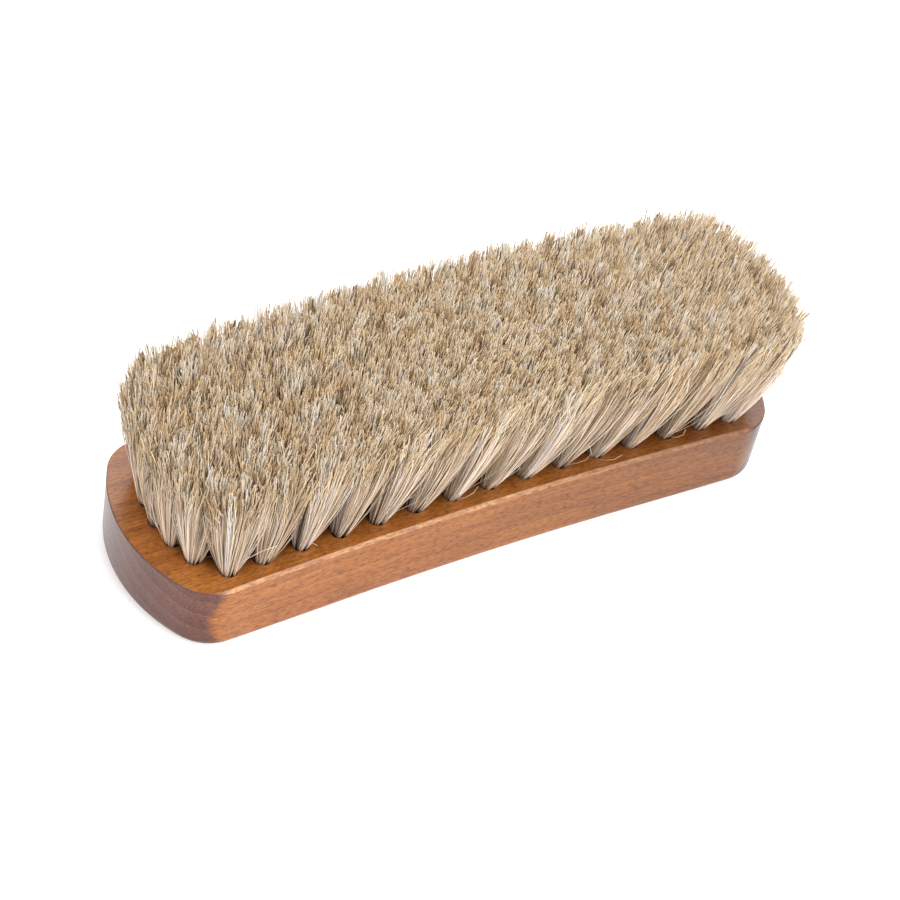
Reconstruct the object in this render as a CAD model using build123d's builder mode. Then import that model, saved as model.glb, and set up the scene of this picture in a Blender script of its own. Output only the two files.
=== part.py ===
from build123d import *
import os
from math import sqrt

os.makedirs("parts", exist_ok=True)

# A shoe shine brush lying on its back with its bristles up, in millimetres. +X runs along the
# brush and +Z up, and the origin is under the middle of the block, on the flat of its back.

# Wooden block
block_length = 180.0
waist_width = 49.0
corner_width = 54.0  # across the corners, before they are rounded
end_bow = 10.0  # how far each end arc stands out beyond the corners
corner_radius = 11.5
block_thickness = 19.5
back_flat_length = 90.0
end_rise = 1.7  # how far the back curves up from the table at each end
back_edge_chamfer = 1.3
face_chamfer = 0.9  # cut along the two long sides only

# Drilled holes, in seven staggered rows. Each round hole has few sides, as there are 112.
row_counts = (15, 16, 17, 16, 17, 16, 15)
field_side_inset = 6.2  # from the waisted sides to the outer rows, which follow them
field_end_inset = 9.0  # from the end of the block to the last hole of the middle row
field_end_radius = 27.0  # the last holes of all rows lie on about this arc
corner_pull = 1.5  # how much closer the four corner holes stand to their neighbours
hole_diameter = 4.4
hole_sides = 12
hole_depth = 10.0

# Wire anchors, one driven down into each hole across the folded hair
anchor_thickness = 0.4
anchor_height = 2.0
anchor_bite = 0.3  # how far each end of an anchor is pressed into the wood
fold_thickness = 1.2  # of the hair that passes under the anchor

# Hair tufts: a bundle in the hole, which opens into four locks above the bristle face
hair_height = 33.5  # from the bristle face to the trimmed top, in the middle of the brush
trim_drop = 7.0  # the top is trimmed to an arc, this much lower above the ends of the block
tuft_clearance = 0.2
anchor_clearance = 0.05
bundle_sides = 6
bundle_stub = 2.0  # how far the bundle stands above the bristle face
end_lean = 6.0  # how far the tips of the last tufts lean outwards along the brush
trim_width = 54.0  # of the trimmed top, whose sides are straight
tip_gap_along = 2.2  # between the trimmed tips of neighbouring locks
tip_gap_across = 1.5
lock_embed = 0.5  # how deep the foot of a lock stands in its bundle
lock_foot_share = 0.46  # width of a lock's foot, as a share of the bundle's radius
lock_offset_share = 0.34  # offset of that foot from the middle of the bundle, likewise

overrun = 1.0  # of every cutting tool beyond the wood

half_length = block_length / 2
corner_x = half_length - end_bow
corner_y = corner_width / 2
waist_y = waist_width / 2
side_sag = corner_y - waist_y
side_radius = (corner_x**2 + side_sag**2) / (2 * side_sag)
hole_floor_z = block_thickness - hole_depth
anchor_z = hole_floor_z + fold_thickness
bundle_radius = hole_diameter / 2 - tuft_clearance
bundle_top_z = block_thickness + bundle_stub
tip_z = block_thickness + hair_height
trim_radius = (half_length**2 + trim_drop**2) / (2 * trim_drop)
row_total = len(row_counts)
field_half_length = half_length - field_end_inset
spread_along = 1 + end_lean / field_half_length
tip_cell_across = (trim_width + tip_gap_across) / row_total
foot_width = bundle_radius * lock_foot_share
foot_offset = bundle_radius * lock_offset_share


def row_spacing(x):
    """Distance between the rows, which follow the waisted sides, at a place along the brush."""
    side_y = waist_y + side_radius - sqrt(side_radius**2 - x**2)
    return 2 * (side_y - field_side_inset) / (row_total - 1)


class TuftRow:
    """One row of holes, evenly spaced along the brush between the end arcs of the field.

    Only the corner holes are pulled in. The trimmed tips of a row stay evenly spaced.
    """

    def __init__(self, row):
        self.steps = row - (row_total - 1) / 2  # of row spacing, from the middle row
        end_sag = field_end_radius - sqrt(field_end_radius**2 - (self.steps * row_spacing(0)) ** 2)
        row_end_x = field_half_length - end_sag
        self.pitch = 2 * row_end_x / (row_counts[row] - 1)
        columns = [column * self.pitch - row_end_x for column in range(row_counts[row])]
        self.tips = [x * spread_along for x in columns]
        if row in (0, row_total - 1):
            columns[0] += corner_pull
            columns[-1] -= corner_pull
        self.places = [(x, self.steps * row_spacing(x)) for x in columns]


def trimmed_z(x):
    """Height of the trimmed top at a place along the brush."""
    return tip_z - trim_radius + sqrt(trim_radius**2 - x**2)


def level_z(y):
    """Height of the top across the brush, where it is level."""
    return tip_z


def lock_wedge(bundle_centre, tip_centre, side, cell, gap, top_z):
    """Side outline of one lock, from inside its bundle up to the height top_z(place).

    The tip stands in one half of its tuft's share of the trimmed top, a gap from its neighbours.
    """
    foot = bundle_centre + side * foot_offset
    tip = tip_centre + side * cell / 4
    half_tip = cell / 4 - gap / 2
    foot_z = bundle_top_z - lock_embed
    return Polygon(
        (foot - foot_width / 2, foot_z),
        (foot + foot_width / 2, foot_z),
        (tip + half_tip, top_z(tip + half_tip)),
        (tip - half_tip, top_z(tip - half_tip)),
        align=None,
    )


def make_block(places):
    """The waisted wooden block with its curved back, routed edges and blind holes."""
    rise_run = half_length - back_flat_length / 2
    rise_radius = (rise_run**2 + end_rise**2) / (2 * end_rise)
    reach_x = half_length + overrun
    reach_z = rise_radius - sqrt(rise_radius**2 - (reach_x - back_flat_length / 2) ** 2)
    with BuildPart() as block:
        with BuildSketch() as outline:
            with BuildLine():
                ThreePointArc((-corner_x, corner_y), (0, waist_y), (corner_x, corner_y))
                ThreePointArc((corner_x, corner_y), (half_length, 0), (corner_x, -corner_y))
                ThreePointArc((corner_x, -corner_y), (0, -waist_y), (-corner_x, -corner_y))
                ThreePointArc((-corner_x, -corner_y), (-half_length, 0), (-corner_x, corner_y))
            make_face()
            fillet(outline.vertices(), radius=corner_radius)
        extrude(amount=block_thickness)

        # The side view: flat in the middle of the back, curving up to both ends
        with BuildSketch(Plane.XZ):
            with BuildLine():
                flat = Line((-back_flat_length / 2, 0), (back_flat_length / 2, 0))
                TangentArc(flat @ 1, (reach_x, reach_z), tangent=(1, 0))
                TangentArc(flat @ 0, (-reach_x, reach_z), tangent=(-1, 0))
                Polyline(
                    (reach_x, reach_z),
                    (reach_x, block_thickness + overrun),
                    (-reach_x, block_thickness + overrun),
                    (-reach_x, reach_z),
                )
            make_face()
        extrude(amount=corner_y + overrun, both=True, mode=Mode.INTERSECT)
        back_edges = [
            edge
            for edge in block.edges().filter_by(GeomType.LINE, reverse=True)
            if edge.bounding_box().max.Z < end_rise + overrun
        ]
        chamfer(back_edges, length=back_edge_chamfer)

        # The chamfer follows each long side and dies out in the rounded corners
        for side in (1, -1):
            cut_out = face_chamfer + overrun
            with BuildSketch(Plane.YZ):
                with BuildLine():
                    Polyline(
                        (side * (waist_y - cut_out), block_thickness + overrun),
                        (side * (waist_y + overrun), block_thickness + overrun),
                        (side * (waist_y + overrun), block_thickness - cut_out),
                        close=True,
                    )
                make_face()
            side_axis = Axis((0, side * (waist_y + side_radius), 0), (0, 0, 1))
            revolve(axis=side_axis, mode=Mode.SUBTRACT)

        with BuildSketch(Plane.XY.offset(block_thickness)):
            with Locations(places):
                RegularPolygon(hole_diameter / 2, hole_sides, major_radius=False, rotation=180 / hole_sides)
        extrude(amount=-hole_depth, mode=Mode.SUBTRACT)
    return block.part


def make_anchors(places):
    """Short flat wires that pin the hair down, one in each hole, lying across the row."""
    with BuildPart() as anchors:
        with BuildSketch(Plane.XY.offset(anchor_z)):
            with Locations(places):
                Rectangle(anchor_thickness, hole_diameter + 2 * anchor_bite)
        extrude(amount=anchor_height)
    return anchors.part


def make_tufts(tuft_row, places, tips):
    """Tufts of folded hair, each one solid: a slotted bundle that opens into four locks.

    The front view of a tuft holds the wedges of its locks, and the end view cuts them to shape.
    """
    tip_cell_along = tuft_row.pitch * spread_along
    tip_y = tuft_row.steps * tip_cell_across
    with BuildPart() as tufts:
        for (x, y), tip_x in zip(places, tips):
            with BuildPart():
                with BuildSketch(Plane.XZ):
                    for side in (-1, 1):
                        lock_wedge(x, tip_x, side, tip_cell_along, tip_gap_along, trimmed_z)
                extrude(amount=trim_width, both=True)
                with BuildSketch(Plane.YZ):
                    for side in (-1, 1):
                        lock_wedge(y, tip_y, side, tip_cell_across, tip_gap_across, level_z)
                extrude(amount=block_length, both=True, mode=Mode.INTERSECT)
        with BuildSketch(Plane.XY.offset(hole_floor_z)):
            with Locations(places):
                RegularPolygon(bundle_radius, bundle_sides)
        extrude(amount=bundle_top_z - hole_floor_z)
        with BuildSketch(Plane.XY.offset(anchor_z - anchor_clearance)):
            with Locations(places):
                Rectangle(anchor_thickness + 2 * anchor_clearance, hole_diameter)
        extrude(amount=anchor_height + 2 * anchor_clearance, mode=Mode.SUBTRACT)
    return tufts.part


def export_piece(part, name):
    part.label = name
    export_step(part, f"parts/{name}.step")


tuft_rows = [TuftRow(row) for row in range(row_total)]
export_piece(make_block([place for tuft_row in tuft_rows for place in tuft_row.places]), "wood_block")
for number, tuft_row in enumerate(tuft_rows, start=1):
    middle = (len(tuft_row.places) + 1) // 2
    for half, share in (("left", slice(middle)), ("right", slice(middle, None))):
        places, tips = tuft_row.places[share], tuft_row.tips[share]
        export_piece(make_tufts(tuft_row, places, tips), f"tufts_row_{number}_{half}")
        export_piece(make_anchors(places), f"anchors_row_{number}_{half}")
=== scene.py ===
import math

import bpy
import numpy as np
from mathutils import Matrix, Vector
from mathutils.geometry import delaunay_2d_cdt


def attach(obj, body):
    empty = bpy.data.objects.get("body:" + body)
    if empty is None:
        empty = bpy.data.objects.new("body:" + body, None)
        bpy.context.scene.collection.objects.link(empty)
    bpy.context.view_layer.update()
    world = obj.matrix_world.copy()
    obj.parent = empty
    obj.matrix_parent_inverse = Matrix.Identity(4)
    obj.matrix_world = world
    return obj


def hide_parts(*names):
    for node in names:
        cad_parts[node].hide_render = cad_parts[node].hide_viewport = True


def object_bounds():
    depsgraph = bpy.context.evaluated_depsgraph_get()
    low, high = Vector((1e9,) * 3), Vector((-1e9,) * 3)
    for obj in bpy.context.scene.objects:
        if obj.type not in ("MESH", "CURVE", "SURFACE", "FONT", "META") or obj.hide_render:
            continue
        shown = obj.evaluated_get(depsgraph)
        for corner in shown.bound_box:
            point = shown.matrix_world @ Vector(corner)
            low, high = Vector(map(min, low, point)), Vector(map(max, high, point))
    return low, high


# A shoe shine brush on its back, hair up. The shapes are worked out in millimetres, as the
# CAD part is, and mesh_piece() turns them into metres. +X runs along the brush, +Z up.
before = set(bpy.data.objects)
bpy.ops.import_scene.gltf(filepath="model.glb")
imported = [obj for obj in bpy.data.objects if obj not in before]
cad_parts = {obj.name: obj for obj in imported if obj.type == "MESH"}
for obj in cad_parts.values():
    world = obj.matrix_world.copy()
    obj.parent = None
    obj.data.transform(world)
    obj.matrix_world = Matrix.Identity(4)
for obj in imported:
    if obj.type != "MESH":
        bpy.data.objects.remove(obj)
cad_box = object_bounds()
MM = 0.001

# Wooden block, as in the CAD part
block_length = 180.0
waist_width = 49.0
corner_width = 54.0
end_bow = 10.0
corner_radius = 11.5
block_thickness = 19.5
back_flat_length = 90.0
end_rise = 1.7
back_edge_radius = 2.0
face_chamfer = 0.9
face_edge_break = 0.22  # the crisp edge round the two ends
routed_bulge = 0.1  # how far the routed edge is worn from a flat cut to a quarter round

# Drilled holes, in staggered rows that end on an arc
row_counts = (15, 16, 17, 16, 17, 16, 15)
field_side_inset = 6.2  # from the waisted sides to the outer rows, which follow them
field_end_inset = 9.0
field_end_radius = 27.0
corner_pull = 1.5  # how much closer the four corner holes stand to their neighbours
hole_diameter = 4.4
hole_depth = 10.0
hole_mouth_break = 0.1

# How finely the block is drawn, in points or steps
outline_counts = (45, 24, 30)  # on the waist, corner and end arcs of a quarter
back_edge_count = 9
wall_shares = (*np.linspace(0.1, 0.98, 9), 1.0)  # heights of the rings up the wall
routed_count = 8
hole_sides = 20
back_reach = (84.0, 20.0)  # how far loose points cover the back, along and across
back_counts = (57, 9)

# End grain shows where the wall's normal points along the brush by more than a limit. As in the
# photograph, long grain reaches further round the corners at half height, where the limit is
# grain_limit_rise - grain_limit_drop, than at the top and bottom, where it is grain_limit.
grain_limit = 0.04
grain_limit_rise = 0.47
grain_limit_drop = 0.22
grain_blend = 0.26  # how much further round the end grain is full

# Hair in its hole
hairs_per_tuft = 500
hair_sides = 3
hair_radius = 0.115
hair_thickness = (0.6, 1.2)  # of each hair, as a share of that radius
clumps_per_tuft = 38  # small locks of about a dozen hairs, whose tips gather
root_radius = 2.1
root_pull = 0.45  # how far the roots gather towards their clump, as a share of the way
parting = 0.45  # half the gap that the anchor leaves in the middle of a tuft

# Spread of the hair
fan_along = 9.4  # how far the hair of one tuft spreads at the trimmed top
fan_across = 7.6
fan_fill = 0.8  # size of the fan of most hair, as a share of the two widths above
fan_squareness = 0.7  # power that turns the round bundle into a rounded square
fan_crowding = 0.35  # power of the distance from the middle, which crowds hair there
clump_pull = (0.2, 0.65)  # how far the tips gather towards their clump, as a share of the way
fan_jitter = 0.03
tip_jitter = 0.2
combed = 4.2  # how far all hair is brushed towards +X at the top, as in the photograph
end_lean = 4.5  # how far the last tufts lean outwards along the brush
tip_row_spacing = 7.55  # the rows stand further apart at the trimmed top

# Outline of the trimmed top
hair_height = 33.8
trim_drop = 6.4  # the top is trimmed to an arc, this much lower above the ends of the block
trim_half_length = 90.8
trim_half_width = 27.9
trim_end_bow = 7.0
trim_corner_radius = 10.5
trim_softness = 0.7  # how gradually hair is held back by that outline
right_end_skew = 0.09  # the right end of the trimmed top slants, further out at the back

# Height of the tips above or below that arc
tip_lift = 1.1  # of all tips, most of which the depths below bring down again
swell_height, swell_spacing = 0.8, 6.0  # of the soft bumps over the whole top
clump_rise = 0.35
rim_drop = 1.3  # how much lower the rim of each tuft is than its middle
cut_depth = 0.5  # mean depth at which hair ends below the cut
short_share, short_depth = 0.35, 7.0  # hair that ends up to this much deeper
long_share, long_height = 0.28, 1.0  # hair that stands this much higher, on average
limit_fringe = 0.7  # how unevenly the highest tips end below the limit for hair

# Stray hair
wild_share = 0.08  # hair that leaves its clump
wild_fan, wild_rise, wild_bow = 0.18, 0.6, 0.8
loose_share = 0.008  # hair that has come loose and crosses its neighbours
loose_reach = (4.0, 11.0)  # how far from its root it ends
loose_heading = (0.2, 0.9)  # mean and spread of its direction, turned from +X
loose_slope = (0.8, 1.7)  # how high it ends, as a share of that reach
loose_tone = 0.85
loose_thickness = 0.55

# Curve of a hair, from a little below the bristle face to its tip
path_shares = np.array([-0.06, 0.1, 0.3, 0.55, 0.8, 1.0])
hole_slant = 1.5  # how fast the hair of a tuft draws together below the face
hair_bend = (0.95, 1.5)  # power that makes hair leave the hole slanting and end upright
hair_bow = 0.35
ripple_size, ripple_phase = 0.18, 7.0
clump_tip_turn, tip_turn = 0.65, 0.45  # how far the tips turn aside, by clumps and one by one

# Tone of a hair, from 0 (near black) to 1 (cream)
middle_tone = 0.72
clump_tone, hair_tone = 0.09, 0.10
broad_tone, broad_tone_spacing = 0.07, 12.0
fine_tone, fine_tone_spacing = 0.13, 5.5
# painted shade: hair at the rim of each tuft, where the tufts meet, is made darker
rim_painted_shade = 0.09
dark_share, dark_tones = 0.065, (0.02, 0.3)
lee_shade = 0.7  # on the left side of each tuft, next to its neighbour there
lee_start = -70.0  # tufts left of here have no such neighbour

half_length = block_length / 2
corner_x = half_length - end_bow
corner_y = corner_width / 2
waist_y = waist_width / 2
side_sag = corner_y - waist_y
side_radius = (corner_x**2 + side_sag**2) / (2 * side_sag)
end_radius = (corner_y**2 + end_bow**2) / (2 * end_bow)
row_total = len(row_counts)
field_half_length = half_length - field_end_inset
cad_corners = np.array(cad_box) / MM
proud = 0.03 * (cad_corners[1] - cad_corners[0])  # how far hair may stand outside the CAD part
hair_box = cad_corners + np.array([[-1], [1]]) * proud
trim_z = block_thickness + hair_height
trim_radius = (half_length**2 + trim_drop**2) / (2 * trim_drop)
trim_end_radius = (trim_half_width**2 + trim_end_bow**2) / (2 * trim_end_bow)


# Camera, lights and floor


def place_camera():
    """The photograph's view: an aim point, a distance and three angles about it."""
    azimuth, elevation, roll = (math.radians(angle) for angle in (-38.87, 43.53, 12.56))
    distance = 600.0 * MM
    aim = Vector((4.94, 5.24, 7.52)) * MM
    forward = Vector((
        -math.sin(azimuth) * math.cos(elevation),
        math.cos(azimuth) * math.cos(elevation),
        -math.sin(elevation),
    ))
    level = Vector((math.cos(azimuth), math.sin(azimuth), 0))
    upright = level.cross(forward)
    right = math.cos(roll) * level + math.sin(roll) * upright
    up = math.cos(roll) * upright - math.sin(roll) * level
    data = bpy.data.cameras.new("camera")
    data.sensor_width = 36.0
    data.lens = 93.48
    data.clip_start = 0.01
    camera = bpy.data.objects.new("camera", data)
    bpy.context.scene.collection.objects.link(camera)
    turn = Matrix((right, up, -forward)).transposed()
    camera.matrix_world = Matrix.Translation(aim - distance * forward) @ turn.to_4x4()
    bpy.context.scene.camera = camera


def softbox(name, place, watts):
    """A square area lamp that faces the middle of the brush."""
    data = bpy.data.lights.new(name, "AREA")
    data.size = 0.7
    data.energy = watts
    lamp = bpy.data.objects.new(name, data)
    bpy.context.scene.collection.objects.link(lamp)
    lamp.location = place
    aim = Vector((0, 0, 0.03))
    lamp.rotation_euler = (aim - Vector(place)).to_track_quat("-Z", "Y").to_euler()


def link(tree, source, target):
    tree.links.new(source, target)


def add_node(tree, kind, **settings):
    """A shader node; settings are its properties, such as operation="MULTIPLY"."""
    made = tree.nodes.new(kind)
    for name, value in settings.items():
        setattr(made, name, value)
    return made


def seen_directly(tree):
    """1 for camera rays, which see the backdrop as plain white, a half for glossy rays, else 0."""
    path = add_node(tree, "ShaderNodeLightPath")
    total = add_node(tree, "ShaderNodeMath", operation="MULTIPLY_ADD")
    total.inputs[1].default_value = 0.5
    link(tree, path.outputs["Is Glossy Ray"], total.inputs[0])
    link(tree, path.outputs["Is Camera Ray"], total.inputs[2])
    return total.outputs[0]


def light_world():
    """White where the camera sees it, dimmer in reflections and dimmest where it lights things."""
    world = bpy.data.worlds.new("studio")
    bpy.context.scene.world = world
    world.use_nodes = True
    tree = world.node_tree
    background = tree.nodes["Background"]
    background.inputs["Color"].default_value = (1.0, 1.0, 1.0, 1.0)
    strength = add_node(tree, "ShaderNodeMapRange")
    strength.inputs["To Min"].default_value = 0.78
    strength.inputs["To Max"].default_value = 1.0
    link(tree, seen_directly(tree), strength.inputs["Value"])
    link(tree, strength.outputs["Result"], background.inputs["Strength"])


def lay_floor():
    """A pale floor. What the camera sees of it is lifted to white, and the shadow stays."""
    reach = 4.0
    mesh = bpy.data.meshes.new("floor")
    corners = [(-reach, -reach, 0), (reach, -reach, 0), (reach, reach, 0), (-reach, reach, 0)]
    mesh.from_pydata(corners, [], [(0, 1, 2, 3)])
    floor = bpy.data.objects.new("floor", mesh)
    bpy.context.scene.collection.objects.link(floor)
    mat, tree, shader = new_material("floor_paper")
    shader.inputs["Base Color"].default_value = (0.82, 0.82, 0.82, 1.0)
    shader.inputs["Roughness"].default_value = 0.9
    shader.inputs["Specular IOR Level"].default_value = 0.1
    shader.inputs["Emission Color"].default_value = (1.0, 1.0, 1.0, 1.0)
    lift = add_node(tree, "ShaderNodeMath", operation="MULTIPLY")
    lift.inputs[1].default_value = 0.38
    link(tree, seen_directly(tree), lift.inputs[0])
    link(tree, lift.outputs[0], shader.inputs["Emission Strength"])
    mesh.materials.append(mat)


# Mesh building


def mesh_piece(name, points, corners, sizes, material, sharp_groups=None):
    """A mesh object from arrays: points in millimetres, corners as one flat list of point
    numbers, and the number of corners of each face. An edge is sharp where both its ends are in
    the same sharp group (0 is no group)."""
    mesh = bpy.data.meshes.new(name)
    mesh.vertices.add(len(points))
    mesh.vertices.foreach_set("co", (points * MM).astype(np.float32).ravel())
    mesh.loops.add(len(corners))
    mesh.loops.foreach_set("vertex_index", corners.astype(np.int32))
    mesh.polygons.add(len(sizes))
    starts = np.concatenate(([0], np.cumsum(sizes)[:-1])).astype(np.int32)
    mesh.polygons.foreach_set("loop_start", starts)
    mesh.polygons.foreach_set("loop_total", sizes.astype(np.int32))
    mesh.polygons.foreach_set("use_smooth", np.ones(len(sizes), bool))
    mesh.update(calc_edges=True)
    if sharp_groups is not None:
        ends = np.empty(len(mesh.edges) * 2, np.int32)
        mesh.edges.foreach_get("vertices", ends)
        groups = sharp_groups[ends.reshape(-1, 2)]
        sharp = (groups[:, 0] == groups[:, 1]) & (groups[:, 0] > 0)
        mesh.edges.foreach_set("use_edge_sharp", sharp)
    mesh.validate()
    mesh.materials.append(material)
    piece = bpy.data.objects.new(name, mesh)
    bpy.context.scene.collection.objects.link(piece)
    return piece


def store(mesh, name, values):
    """One number for each point, for a material to read by name."""
    mesh.attributes.new(name, "FLOAT", "POINT").data.foreach_set("value", values.astype(np.float32))


# Wooden block


def arc(centre, radius, start, end, count):
    """Points centre + radius * (cos a, sin a), for count angles a from start to end."""
    angles = np.linspace(start, end, count)
    return centre + radius * np.c_[np.cos(angles), np.sin(angles)]


def block_outline():
    """The block's outline, anticlockwise from its front middle, with outward normals.

    A quarter is three arcs: the waist, whose centre is outside the wood, the corner, which
    touches both its neighbours, and the end. The corner's centre lies where a circle of
    side_radius + corner_radius meets one of end_radius - corner_radius. Mirrors give the rest.
    """
    side_centre = np.array([0.0, -waist_y - side_radius])
    end_centre = np.array([half_length - end_radius, 0.0])
    far, near = side_radius + corner_radius, end_radius - corner_radius
    between = end_centre - side_centre
    gap = np.linalg.norm(between)
    along = (far**2 - near**2 + gap**2) / (2 * gap)
    off = math.sqrt(far**2 - along**2)
    unit = between / gap
    corner_centre = side_centre + along * unit + off * np.array([unit[1], -unit[0]])

    def angle(vector):
        return math.atan2(vector[1], vector[0])

    to_corner = angle(corner_centre - side_centre)
    from_end = angle(corner_centre - end_centre)
    side_count, corner_count, end_count = outline_counts
    side = arc(side_centre, side_radius, math.pi / 2, to_corner, side_count)
    corner = arc(corner_centre, corner_radius, to_corner - math.pi, from_end, corner_count)
    end = arc(end_centre, end_radius, from_end, 0, end_count)
    normals = np.vstack((
        (side_centre - side) / side_radius,
        ((corner - corner_centre) / corner_radius)[1:],
        ((end - end_centre) / end_radius)[1:],
    ))
    quarter = np.vstack((side, corner[1:], end[1:]))
    outline, outward = [quarter], [normals]
    for flip in ((1, -1), (-1, -1), (-1, 1)):
        turned = flip[0] * flip[1] < 0
        order = slice(-2, None, -1) if turned else slice(1, None)
        outline.append((quarter * flip)[order])
        outward.append((normals * flip)[order])
    return np.vstack(outline)[:-1], np.vstack(outward)[:-1]


def back_height(x):
    """How far the back is above the table: none in the middle, and an arc up to each end."""
    run = half_length - back_flat_length / 2
    radius = (run**2 + end_rise**2) / (2 * end_rise)
    beyond = np.clip(np.abs(x) - back_flat_length / 2, 0, None)
    return radius - np.sqrt(radius**2 - beyond**2)


def edge_cut(outline):
    """Depth of the routed edge at each point of the outline: full along the waist arc, less as
    the outline leaves that arc at the corners, and never under the crisp edge of the ends."""
    centre_y = waist_y + side_radius
    away = np.hypot(outline[:, 0], np.abs(outline[:, 1]) - centre_y) - side_radius
    return np.clip(face_chamfer - np.abs(away), face_edge_break, None)


def flat_face(boundary, holes, inside, upwards):
    """Triangles of a flat face between its boundary, its round holes and loose inside points.

    boundary and every hole are arrays of places in order; the numbers of the points in the
    triangles run through the boundary, then the holes, then the inside points. A triangle
    whose middle lies in a hole is left out.
    """
    edges, faces, first = [], [], 0
    for ring in (boundary, *holes):
        numbers = list(range(first, first + len(ring)))
        edges += list(zip(numbers, numbers[1:] + numbers[:1]))
        faces.append(numbers)
        first += len(ring)
    places = np.vstack((boundary, *holes, inside))
    only_inside, smallest_gap = 1, 1e-5
    vectors = [Vector(place) for place in places]
    made = delaunay_2d_cdt(vectors, edges, faces, only_inside, smallest_gap)
    kept = np.array([origin[0] for origin in made[3]])
    triangles = kept[np.array(made[2])]
    if len(holes):
        centres = holes.mean(axis=1)
        reach = 0.97 * np.linalg.norm(holes[0, 0] - centres[0])  # just under a hole's radius
        middles = places[triangles].mean(axis=1)
        gaps = np.linalg.norm(middles[:, None] - centres, axis=2)
        triangles = triangles[gaps.min(axis=1) > reach]
    corner = places[triangles]
    one, two = corner[:, 1] - corner[:, 0], corner[:, 2] - corner[:, 0]
    wrong = (one[:, 0] * two[:, 1] - one[:, 1] * two[:, 0] > 0) != upwards
    triangles[wrong] = triangles[wrong][:, ::-1]
    return triangles


def quad_strips(rings):
    """Quads between neighbouring rings of point numbers; they face outwards where the rings run
    anticlockwise and are listed from the bottom up."""
    turned = np.roll(rings, -1, axis=1)
    return np.stack((rings[:-1], turned[:-1], turned[1:], rings[1:]), axis=-1).reshape(-1, 4)


def side_rings(outline, normals, cut):
    """Rings of points round the block, from its back up to its bristle face.

    Each is the outline moved in along its normals by an inset, at a height: a quarter round at
    the back (inset r (1 - sin a), height r (1 - cos a)), the upright wall, and the routed edge,
    a 45 degree cut bulged a little of the way to a quarter round.
    """
    base = back_height(outline[:, 0])
    rings = []
    for turn in np.linspace(0, math.pi / 2, back_edge_count):
        ring = outline - normals * (back_edge_radius * (1 - math.sin(turn)))
        rings.append(np.c_[ring, base + back_edge_radius * (1 - math.cos(turn))])
    wall_low = base + back_edge_radius
    wall_high = block_thickness - cut
    for share in wall_shares:
        rings.append(np.c_[outline, wall_low + (wall_high - wall_low) * share])
    for share in np.linspace(0, 1, routed_count)[1:]:
        turn = share * math.pi / 2
        inset = cut * ((1 - routed_bulge) * share + routed_bulge * (1 - math.cos(turn)))
        rise = cut * ((1 - routed_bulge) * share + routed_bulge * math.sin(turn))
        rings.append(np.c_[outline - normals * inset[:, None], wall_high + rise])
    return rings


def hole_rings(places):
    """Three rings of points for each hole, from its broken mouth down to its flat floor."""
    circle = arc(np.zeros(2), 1.0, 0, 2 * math.pi, hole_sides + 1)[:-1]
    radius = hole_diameter / 2
    levels = (
        (radius + hole_mouth_break, block_thickness),
        (radius, block_thickness - hole_mouth_break),
        (radius, block_thickness - hole_depth),
    )
    return np.stack([
        np.concatenate((places[:, None] + reach * circle,
                        np.full((len(places), hole_sides, 1), height)), axis=2)
        for reach, height in levels
    ], axis=1)


def make_wood_block(places, material):
    """The block as one closed skin: rings round its sides, two flat faces of triangles, and a
    tube with a floor for each hole."""
    outline, normals = block_outline()
    cut = edge_cut(outline)
    rings = side_rings(outline, normals, cut)
    skin = np.vstack(rings)
    numbers = np.arange(len(skin)).reshape(len(rings), len(outline))

    # Back: its outline and loose points inside, lifted to the curve of the back
    spans = [np.linspace(-reach, reach, count) for reach, count in zip(back_reach, back_counts)]
    inside = np.stack(np.meshgrid(*spans), axis=-1).reshape(-1, 2)
    back_numbers = np.concatenate((numbers[0], len(skin) + np.arange(len(inside))))
    back = back_numbers[flat_face(rings[0][:, :2], [], inside, upwards=False)]
    skin = np.vstack((skin, np.c_[inside, back_height(inside[:, 0])]))

    tubes = hole_rings(places)
    tube_numbers = len(skin) + np.arange(tubes.size // 3).reshape(tubes.shape[:3])
    skin = np.vstack((skin, tubes.reshape(-1, 3)))
    tube_quads = np.vstack([quad_strips(tube)[:, ::-1] for tube in tube_numbers[:, ::-1]])
    mouths, floors = tube_numbers[:, 0].ravel(), tube_numbers[:, -1]
    face_numbers = np.concatenate((numbers[-1], mouths))
    face = flat_face(rings[-1][:, :2], tubes[:, 0, :, :2], np.empty((0, 2)), upwards=True)

    groups = np.zeros(len(skin), int)
    for group, ring in enumerate((numbers[-1], numbers[0], mouths, floors.ravel()), start=1):
        groups[ring] = group
    quads = np.vstack((quad_strips(numbers), tube_quads))
    triangles = np.vstack((back, face_numbers[face]))
    corners = np.concatenate([part.ravel() for part in (quads, floors, triangles)])
    sizes = np.repeat((4, hole_sides, 3), (len(quads), len(floors), len(triangles)))
    block = mesh_piece("block", skin, corners, sizes, material, groups)

    # Where the materials find end grain, the stained line along the ends, the routed edge for
    # its painted highlight and the wood between the tufts for its painted shade
    end_grain, end_line, routed, painted_shade = np.zeros((4, len(skin)))
    bulge = 1 - (2 * skin[numbers, 2] / block_thickness - 1) ** 2
    limit = np.maximum(grain_limit_rise * bulge - grain_limit_drop, grain_limit)
    facing = np.clip((np.abs(normals[:, 0]) - limit) / grain_blend, 0, 1)
    end_grain[numbers[1:-1]] = (facing * facing * (3 - 2 * facing))[1:-1]
    long_side = (cut - face_edge_break) / (face_chamfer - face_edge_break)
    wall_top = back_edge_count + len(wall_shares) - 1
    end_line[numbers[wall_top]] = 1 - long_side
    routed[numbers[wall_top + 1:-1]] = long_side
    painted_shade[mouths] = inside_field(skin[mouths])
    names = ("end_grain", "end_line", "routed", "painted_shade")
    for name, values in zip(names, (end_grain, end_line, routed, painted_shade)):
        store(block.data, name, values)
    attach(block, "root")
    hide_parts("wood_block")


# Hair


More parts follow.
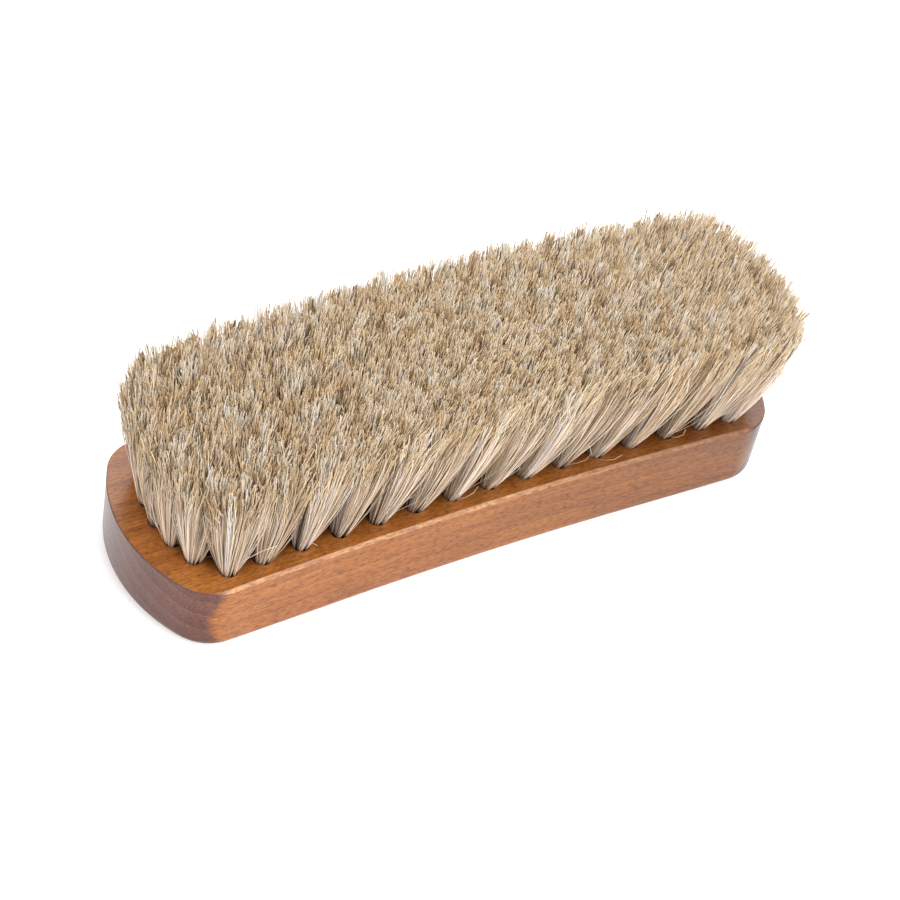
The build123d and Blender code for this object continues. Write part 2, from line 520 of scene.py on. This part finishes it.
def row_spacing(x):
    """Distance between the rows, which follow the waisted sides, at a place along the brush."""
    side_y = waist_y + side_radius - np.sqrt(side_radius**2 - x**2)
    return 2 * (side_y - field_side_inset) / (row_total - 1)


def inside_field(places):
    """0 outside the drilled field and 1 inside it, from the outer to the inner edges of the
    outer holes."""
    x, y = places[..., 0], places[..., 1]
    from_waist = row_spacing(x) * (row_total - 1) / 2 - np.abs(y)
    from_end = field_half_length - np.abs(x) - y**2 / (2 * field_end_radius)
    return np.clip(np.minimum(from_waist, from_end) / hole_diameter + 0.5, 0, 1)


def tuft_places(row):
    """Places of the holes of one row, spread evenly between the end arcs of the field, and the
    middle of each tuft at the trimmed top, before the hair is combed."""
    steps = row - (row_total - 1) / 2
    end_x = field_half_length - field_end_radius
    end_x += math.sqrt(field_end_radius**2 - (steps * row_spacing(0.0)) ** 2)
    x = np.linspace(-end_x, end_x, row_counts[row])
    tip_y = np.full(len(x), steps * tip_row_spacing)
    tops = np.c_[x * (1 + end_lean / field_half_length), tip_y]
    if row in (0, row_total - 1):
        x[[0, -1]] += [corner_pull, -corner_pull]
    return np.c_[x, steps * row_spacing(x)], tops


def patches(places, spacing, seed):
    """A smooth random height from about -1 to 1, the sum of nine level waves.

    Each is sin(2 pi (d / w + p)), at the distance d along its own heading. Its length w is 0.7
    to 1.5 times the spacing, and p is its own phase.
    """
    waves = np.random.default_rng(seed).uniform(0, 1, (9, 3))
    total = np.zeros(places.shape[:-1])
    for heading, phase, stretch in waves:
        turn = 2 * math.pi * heading
        distance = places[..., 0] * math.cos(turn) + places[..., 1] * math.sin(turn)
        length = spacing * (0.7 + 0.8 * stretch)
        total += np.sin(2 * math.pi * (distance / length + phase))
    return total / math.sqrt(len(waves))


def strands(paths, radii):
    """Closed strands of a few sides along paths of shape (strand, step, 3).

    A corner is path + radius * (A cos a + B sin a) for even angles a, where A is a level
    direction of the strand's own made square to the path, and B is the path's direction x A.
    """
    ahead = np.gradient(paths, axis=1)
    ahead /= np.linalg.norm(ahead, axis=2, keepdims=True)
    golden_angle = 2.4
    turn = np.arange(len(paths)) * golden_angle
    level = np.stack((np.cos(turn), np.sin(turn), np.zeros(len(paths))), axis=1)[:, None]
    side = level - (level * ahead).sum(axis=2, keepdims=True) * ahead
    side /= np.linalg.norm(side, axis=2, keepdims=True)
    other = np.cross(ahead, side)
    corners = []
    for corner in range(hair_sides):
        angle = corner * 2 * math.pi / hair_sides
        way = side * math.cos(angle) + other * math.sin(angle)
        corners.append(paths + radii[:, None, None] * way)
    points = np.stack(corners, axis=2)
    numbers = np.arange(points.size // 3).reshape(points.shape[:3])
    turned = np.roll(numbers, -1, axis=2)
    quads = np.stack((numbers[:, :-1], turned[:, :-1], turned[:, 1:], numbers[:, 1:]), axis=-1)
    ends = np.concatenate((numbers[:, 0, ::-1], numbers[:, -1]))
    loops = np.concatenate((quads.ravel(), ends.ravel()))
    sizes = np.repeat((4, hair_sides), (quads.size // 4, len(ends)))
    return points.reshape(-1, 3), loops, sizes


def held_back(tips):
    """Places of the tips, moved inwards where they would stand outside the trimmed outline.

    The outline is a rounded box whose ends bow out, which x + sag(y) makes straight. A tip at
    the distance d outside it goes to the distance -s ln(1 + exp(-d / s)).
    """
    size = np.abs(tips)
    from_middle = np.minimum(size[..., 1], trim_half_width)
    sag = trim_end_radius - np.sqrt(trim_end_radius**2 - from_middle**2)
    beyond = size + np.stack((sag, np.zeros_like(sag)), axis=-1)
    beyond -= np.array([trim_half_length, trim_half_width]) - trim_corner_radius
    round_part = np.maximum(beyond, 0)
    reach = np.linalg.norm(round_part, axis=-1)
    distance = reach + np.minimum(beyond.max(axis=-1), 0) - trim_corner_radius
    held = -trim_softness * np.logaddexp(0, -distance / trim_softness)
    way = round_part / np.maximum(reach, 1e-6)[..., None]
    return tips - np.sign(tips) * way * (distance - held)[..., None]


def scatter(shape, rng):
    """Even random places in a disc of radius 1: angles a, and distances sqrt(u)."""
    return rng.uniform(0, 2 * math.pi, shape), np.sqrt(rng.uniform(0, 1, shape))


def level_place(turn, out):
    """Level places at a distance from the middle, in the direction turn."""
    return np.stack((out * np.cos(turn), out * np.sin(turn)), axis=-1)


class Hair:
    """The hair of some tufts, in arrays with one row a tuft and one column a hair.

    Hair stands in a disc in the hole, parted in two by the anchor, and fans out to a rounded
    square at the trimmed top, where its tips gather in small clumps.
    """

    def __init__(self, places, tops, rng):
        self.rng = rng
        self.shape = (len(places), hairs_per_tuft)
        self.clump_shape = (len(places), clumps_per_tuft)
        self.holes = places[:, None]
        self.stand()
        self.fan_out(tops[:, None])
        self.trim()
        self.loosen()

    def some(self, share):
        """A random choice of about that share of all the hairs."""
        return self.rng.uniform(0, 1, self.shape) < share

    def of_clump(self, values):
        """The value of each hair's own clump, from one value a clump."""
        own = self.own if values.ndim == 2 else self.own[..., None]
        return np.take_along_axis(values, own, axis=1)

    def stand(self):
        """Places of the roots. Each hair's own clump is the one that stands nearest."""
        self.turn, self.out = scatter(self.shape, self.rng)
        self.disc = level_place(self.turn, self.out)
        clumps = level_place(*scatter(self.clump_shape, self.rng))
        gaps = np.linalg.norm(self.disc[:, :, None] - clumps[:, None], axis=3)
        self.own = gaps.argmin(axis=2)
        self.to_clump = self.of_clump(clumps) - self.disc
        root = (self.disc + root_pull * self.to_clump) * root_radius
        from_parting = np.abs(root[..., 0]) * (1 - parting / root_radius)
        root[..., 0] = np.sign(root[..., 0]) * (parting + from_parting)
        self.root = self.holes + root

    def fan_out(self, tops):
        """Level places of the tips.

        The disc becomes a rounded square: each place, moved part of the way to its clump, is
        divided by max(|cos a|, |sin a|) ** fan_squareness and multiplied by its distance from
        the middle ** fan_crowding. The tips are then held back, combed and skewed.
        """
        rng = self.rng
        pull = self.of_clump(rng.uniform(*clump_pull, self.clump_shape))[..., None]
        corner = np.maximum(np.abs(np.cos(self.turn)), np.abs(np.sin(self.turn)))[..., None]
        fan = fan_fill * (self.disc + self.to_clump * pull) * corner**-fan_squareness
        fan = fan * self.out[..., None] ** fan_crowding + rng.normal(0, fan_jitter, fan.shape)
        self.wild = self.some(wild_share)
        fan[self.wild] += rng.normal(0, wild_fan, (self.wild.sum(), 2))
        tip = held_back(tops + fan * np.array([fan_along, fan_across]))
        tip = tip + rng.normal(0, tip_jitter, tip.shape) + np.array([combed, 0.0])
        to_end = np.clip(tip[..., 0] / half_length, 0, 1)
        tip[..., 0] += right_end_skew * tip[..., 1] * to_end**2
        self.tip = tip

    def trim(self):
        """Heights of the tips, about the arc that the top is trimmed to."""
        rng, shape = self.rng, self.shape
        rise = self.of_clump(rng.normal(0, clump_rise, self.clump_shape))
        short = rng.exponential(cut_depth, shape)
        short += self.some(short_share) * rng.uniform(0, short_depth, shape)
        long = self.some(long_share) * rng.exponential(long_height, shape)
        from_middle = self.tip[..., 0] - combed
        top = trim_z - trim_radius + np.sqrt(trim_radius**2 - from_middle**2)
        swell = swell_height * patches(self.tip, swell_spacing, seed=5)
        top = top + tip_lift + swell + rise - rim_drop * self.out**5 - short + long
        top[self.wild] += rng.normal(0, wild_rise, self.wild.sum())
        self.tip_z = np.minimum(top, hair_box[1][2] - rng.uniform(0, limit_fringe, shape))

    def loosen(self):
        """A few hairs that lie across the others, slanting out of their hole."""
        self.loose = self.some(loose_share)
        count = self.loose.sum()
        reach = self.rng.uniform(*loose_reach, count)
        way = self.rng.normal(*loose_heading, count)
        self.tip[self.loose] = self.root[self.loose] + level_place(way, reach)
        slope = self.rng.uniform(*loose_slope, count)
        self.tip_z[self.loose] = block_thickness + reach * slope

    def paths(self):
        """Points along each hair, for t in path_shares.

        Level places follow root + (tip - root) * (1 - (1 - t) ** bend), so hair leaves the hole
        slanting and ends upright, plus a bow, a ripple and a turn of the tip of its own.
        """
        rng, shape = self.rng, self.shape
        t = np.clip(path_shares, 0, 1)
        bend = rng.uniform(*hair_bend, shape)[..., None]
        level = 1 - (1 - t) ** bend + np.minimum(path_shares, 0) * hole_slant
        bow = rng.normal(0, hair_bow, shape)
        bow += (self.wild | self.loose) * rng.normal(0, wild_bow, shape)
        phase = rng.uniform(0, 2 * math.pi, shape)[..., None]
        ripple = rng.normal(0, ripple_size, shape)[..., None]
        ripple = ripple * t * np.sin(phase + ripple_phase * path_shares)
        sway = bow[..., None] * np.sin(math.pi * t) + ripple
        way = level_place(rng.uniform(0, 2 * math.pi, shape), 1.0)
        tip_bend = self.of_clump(rng.normal(0, clump_tip_turn, (*self.clump_shape, 2)))
        tip_bend = tip_bend + rng.normal(0, tip_turn, tip_bend.shape)
        start = self.root[..., None, :]
        flat = start + (self.tip - self.root)[..., None, :] * level[..., None]
        flat = flat + way[..., None, :] * sway[..., None]
        flat[..., -1, :] += tip_bend
        rise = block_thickness + (self.tip_z[..., None] - block_thickness) * path_shares
        paths = np.concatenate((flat, rise[..., None]), axis=-1)
        return np.clip(paths, *hair_box).reshape(-1, len(path_shares), 3)

    def looks(self):
        """Tone, warmth and shade of each hair, from 0 to 1, and its radius."""
        rng, shape = self.rng, self.shape
        tone = middle_tone + self.of_clump(rng.normal(0, clump_tone, self.clump_shape))
        tone = tone + broad_tone * patches(self.tip, broad_tone_spacing, seed=9)
        tone = tone + fine_tone * patches(self.tip, fine_tone_spacing, seed=4)
        tone += rng.normal(0, hair_tone, shape) - rim_painted_shade * self.out**3
        dark = self.some(dark_share)
        tone[dark] = rng.uniform(*dark_tones, dark.sum())
        tone[self.loose] = loose_tone
        warmth = rng.uniform(0, 1, shape)
        thick = hair_radius * rng.uniform(*hair_thickness, shape)
        thick = thick * np.where(self.loose, loose_thickness, 1.0)
        # painted shade: inner tufts, and the left side of each tuft next to its neighbour, are
        # darkened
        lee = lee_shade * np.clip(-self.disc[..., 0], 0, 1) * (self.holes[..., 0] > lee_start)
        painted_shade = np.maximum(inside_field(self.root), lee)
        return np.clip((tone, warmth, painted_shade), 0, 1).reshape(3, -1), thick.ravel()


def make_hair(row, half, places, tops, material):
    """The hair of one half row, as one piece that stands for that half row's tufts."""
    first_seed = 100
    rng = np.random.default_rng(first_seed + 2 * row + (half == "right"))
    hair = Hair(places, tops, rng)
    paths = hair.paths()
    looks, radii = hair.looks()
    points, loops, sizes = strands(paths, radii)
    piece = mesh_piece(f"hair_row_{row + 1}_{half}", points, loops, sizes, material)
    for name, values in zip(("tone", "warmth", "painted_shade"), looks):
        store(piece.data, name, np.repeat(values, len(path_shares) * hair_sides))
    store(piece.data, "along", np.tile(np.repeat(path_shares, hair_sides), len(paths)))
    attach(piece, "root")
    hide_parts(f"tufts_row_{row + 1}_{half}")


# Materials


def new_material(name):
    mat = bpy.data.materials.new(name)
    mat.use_nodes = True
    return mat, mat.node_tree, mat.node_tree.nodes["Principled BSDF"]


def ramp(tree, value, stops):
    """A colour ramp over value; stops are (place, colour)."""
    made = add_node(tree, "ShaderNodeValToRGB")
    elements = made.color_ramp.elements
    while len(elements) < len(stops):
        elements.new(0.5)
    for element, (place, colour) in zip(elements, stops):
        element.position = place
        element.color = (*colour, 1.0)
    link(tree, value, made.inputs["Fac"])
    return made.outputs["Color"]


def mix(tree, kind, amount, first, second):
    """A colour mix; amount, first and second are sockets or plain values."""
    made = add_node(tree, "ShaderNodeMix", data_type="RGBA", blend_type=kind)
    sockets = (made.inputs[0], made.inputs[6], made.inputs[7])
    for socket, value in zip(sockets, (amount, first, second)):
        if isinstance(value, bpy.types.NodeSocket):
            link(tree, value, socket)
        else:
            socket.default_value = value
    return made.outputs[2]


def tinted(tree, colour, tint, amount=1.0):
    """The colour multiplied by a tint, fully or by an amount."""
    return mix(tree, "MULTIPLY", amount, colour, tint)


def attribute(tree, name):
    """The number that store() gave each point."""
    return add_node(tree, "ShaderNodeAttribute", attribute_name=name).outputs["Fac"]


def stretched(tree, scale, turn=(0, 0, 0), move=(0, 0, 0)):
    """Object coordinates moved, turned and scaled, for a pattern with a grain."""
    coordinates = add_node(tree, "ShaderNodeTexCoord")
    mapping = add_node(tree, "ShaderNodeMapping")
    mapping.inputs["Location"].default_value = move
    mapping.inputs["Rotation"].default_value = turn
    mapping.inputs["Scale"].default_value = scale
    link(tree, coordinates.outputs["Object"], mapping.inputs["Vector"])
    return mapping.outputs["Vector"]


def noise(tree, vector, detail, roughness=0.55):
    made = add_node(tree, "ShaderNodeTexNoise")
    made.inputs["Scale"].default_value = 1.0
    made.inputs["Detail"].default_value = detail
    made.inputs["Roughness"].default_value = roughness
    link(tree, vector, made.inputs["Vector"])
    return made.outputs["Fac"]


def bumped(tree, height, strength, normal):
    """A fine relief of 0.2 mm times its strength, linked to a shader's normal socket."""
    bump = add_node(tree, "ShaderNodeBump")
    bump.inputs["Strength"].default_value = strength
    bump.inputs["Distance"].default_value = 0.2 * MM
    link(tree, height, bump.inputs["Height"])
    link(tree, bump.outputs["Normal"], normal)


def stained_beech():
    """Beech under an orange-brown stain and a clear gloss lacquer.

    Growth rings are shells about a far axis along the block, so the ends show arcs and the
    sides show long lines. Short dark flecks and fine pores run with the grain. The routed edge is
    lightened in patches, a painted highlight, the wood between the tufts has painted shade, and
    the colour darkens towards the right end, partly the wood's tone and partly painted shade.
    """
    mat, tree, shader = new_material("stained_beech")
    rings = add_node(tree, "ShaderNodeTexWave", wave_type="RINGS", wave_profile="SAW")
    rings.rings_direction = "X"
    rings.inputs["Scale"].default_value = 1.0
    rings.inputs["Distortion"].default_value = 2.2
    rings.inputs["Detail"].default_value = 2.0
    rings.inputs["Detail Scale"].default_value = 0.5
    ring_places = stretched(tree, (25, 70, 70), turn=(0, 0.03, 0.02), move=(0, 2.4, -5.5))
    link(tree, ring_places, rings.inputs["Vector"])
    long_grain = ramp(tree, rings.outputs["Fac"], (
        (0.0, (0.43, 0.156, 0.032)),
        (0.6, (0.405, 0.144, 0.029)),
        (0.9, (0.365, 0.124, 0.024)),
        (1.0, (0.33, 0.110, 0.021)),
    ))
    end_grain = ramp(tree, rings.outputs["Fac"], (
        (0.0, (0.150, 0.052, 0.036)),
        (0.5, (0.130, 0.043, 0.030)),
        (0.8, (0.112, 0.036, 0.026)),
        (0.92, (0.175, 0.066, 0.044)),
        (1.0, (0.155, 0.056, 0.038)),
    ))
    colour = mix(tree, "MIX", attribute(tree, "end_grain"), long_grain, end_grain)
    colour = tinted(tree, colour, (0.6, 0.5, 0.45, 1.0), attribute(tree, "end_line"))
    # painted shade on the wood between the tufts, where the hair would shadow it
    colour = tinted(tree, colour, (0.35, 0.3, 0.28, 1.0), attribute(tree, "painted_shade"))
    broad = noise(tree, stretched(tree, (14, 80, 80)), detail=2.0)
    colour = tinted(tree, colour, ramp(tree, broad, (
        (0.32, (0.80, 0.74, 0.68)),
        (0.68, (1.10, 1.12, 1.12)),
    )))
    streak = noise(tree, stretched(tree, (45, 1300, 1300)), detail=4.0, roughness=0.65)
    colour = tinted(tree, colour, ramp(tree, streak, (
        (0.34, (0.78, 0.72, 0.66)),
        (0.62, (1.06, 1.06, 1.06)),
    )))
    # darker towards the right end: partly the wood's own tone, partly painted shade where light
    # falls off
    along_block = add_node(tree, "ShaderNodeSeparateXYZ")
    lengths = 1 / (block_length * MM)
    link(tree, stretched(tree, (lengths,) * 3, move=(0.5, 0, 0)), along_block.inputs[0])
    colour = tinted(tree, colour, ramp(tree, along_block.outputs["X"], (
        (0.0, (1.0, 1.0, 1.0)),
        (0.3, (0.99, 0.99, 0.99)),
        (0.5, (0.78, 0.78, 0.78)),
        (0.75, (0.60, 0.58, 0.56)),
        (1.0, (0.47, 0.44, 0.41)),
    )))
    fleck = noise(tree, stretched(tree, (600, 2400, 2200)), detail=2.0, roughness=0.6)
    colour = tinted(tree, colour, ramp(tree, fleck, (
        (0.32, (0.56, 0.48, 0.40)),
        (0.5, (1.0, 1.0, 1.0)),
        (0.68, (1.2, 1.22, 1.24)),
    )))
    # painted highlight: the routed edge lightened in patches towards pale pink, for the lamp's
    # reflection
    painted_edge_highlight = ramp(tree, noise(tree, stretched(tree, (300, 900, 900)), detail=3.0), (
        (0.42, (1.05, 1.1, 1.2)),
        (0.62, (1.35, 1.9, 3.2)),
    ))
    colour = tinted(tree, colour, painted_edge_highlight, attribute(tree, "routed"))
    link(tree, colour, shader.inputs["Base Color"])
    shader.inputs["Roughness"].default_value = 0.5
    shader.inputs["Specular IOR Level"].default_value = 0.1
    shader.inputs["Coat Weight"].default_value = 1.0
    shader.inputs["Coat IOR"].default_value = 1.45
    shader.inputs["Coat Roughness"].default_value = 0.25
    bumped(tree, streak, 0.12, shader.inputs["Normal"])
    lacquer = noise(tree, stretched(tree, (500, 1100, 1100)), detail=2.0)
    bumped(tree, lacquer, 0.35, shader.inputs["Coat Normal"])
    return mat


def horsehair():
    """Natural light horsehair.

    Each hair has one tone, from near black through tan to cream, and a warmth of its own.
    Painted light makes its lower part paler and more even and painted shade its tip a little
    darker, and between the tufts it is in painted deep shade.
    """
    mat, tree, shader = new_material("horsehair")
    along = attribute(tree, "along")
    colour = ramp(tree, attribute(tree, "tone"), (
        (0.0, (0.045, 0.033, 0.025)),
        (0.25, (0.26, 0.18, 0.105)),
        (0.45, (0.58, 0.42, 0.255)),
        (0.65, (0.76, 0.605, 0.42)),
        (0.82, (0.81, 0.71, 0.575)),
        (1.0, (0.82, 0.76, 0.675)),
    ))
    colour = tinted(tree, colour, ramp(tree, attribute(tree, "warmth"), (
        (0.0, (0.93, 1.0, 1.16)),
        (0.5, (1.0, 1.0, 1.0)),
        (0.85, (1.04, 0.99, 0.88)),
        (1.0, (1.06, 0.95, 0.72)),
    )))
    # painted light on the lower hair, painted shade on the tips
    colour = tinted(tree, colour, ramp(tree, along, (
        (0.0, (1.17, 1.17, 1.25)),
        (0.6, (1.15, 1.15, 1.20)),
        (0.85, (1.01, 1.01, 1.01)),
        (1.0, (0.91, 0.88, 0.83)),
    )))
    # painted light: the lower hair mixed towards a pale cream
    painted_pale_share = ramp(tree, along, ((0.55, (0.25, 0.25, 0.25)), (0.95, (0.0, 0.0, 0.0))))
    colour = mix(tree, "MIX", painted_pale_share, colour, (0.95, 0.81, 0.69, 1.0))
    deep_shade = ramp(tree, along, (
        (0.0, (0.17, 0.115, 0.075)),
        (0.3, (0.33, 0.265, 0.20)),
        (0.65, (0.85, 0.82, 0.78)),
        (0.85, (1.0, 1.0, 1.0)),
    ))
    colour = tinted(tree, colour, deep_shade, attribute(tree, "painted_shade"))
    link(tree, colour, shader.inputs["Base Color"])
    shader.inputs["Roughness"].default_value = 0.6
    shader.inputs["Specular IOR Level"].default_value = 0.2
    return mat


def anchor_wire():
    """Dull flat steel wire, with fine drawing marks along it."""
    mat, tree, shader = new_material("anchor_wire")
    marks = noise(tree, stretched(tree, (3000, 200, 3000)), detail=2.0)
    colour = ramp(tree, marks, ((0.3, (0.42, 0.42, 0.43)), (0.7, (0.6, 0.6, 0.61))))
    link(tree, colour, shader.inputs["Base Color"])
    shader.inputs["Metallic"].default_value = 1.0
    shader.inputs["Roughness"].default_value = 0.45
    return mat


place_camera()
light_world()
lay_floor()
softbox("back_softbox", (0.40, 0.47, 0.62), 3.8)
softbox("front_softbox", (0.14, -0.71, 0.49), 6.3)
softbox("left_softbox", (-0.66, -0.26, 0.46), 2.0)

wood_finish, hair_finish, wire_finish = stained_beech(), horsehair(), anchor_wire()
rows = [tuft_places(row) for row in range(row_total)]
make_wood_block(np.vstack([places for places, tops in rows]), wood_finish)
for row, (places, tops) in enumerate(rows):
    middle = (len(places) + 1) // 2
    make_hair(row, "left", places[:middle], tops[:middle], hair_finish)
    make_hair(row, "right", places[middle:], tops[middle:], hair_finish)
for name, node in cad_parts.items():
    if name.startswith("anchors"):
        node.data.materials.clear()
        node.data.materials.append(wire_finish)

bpy.context.scene.view_settings.view_transform = "Standard"
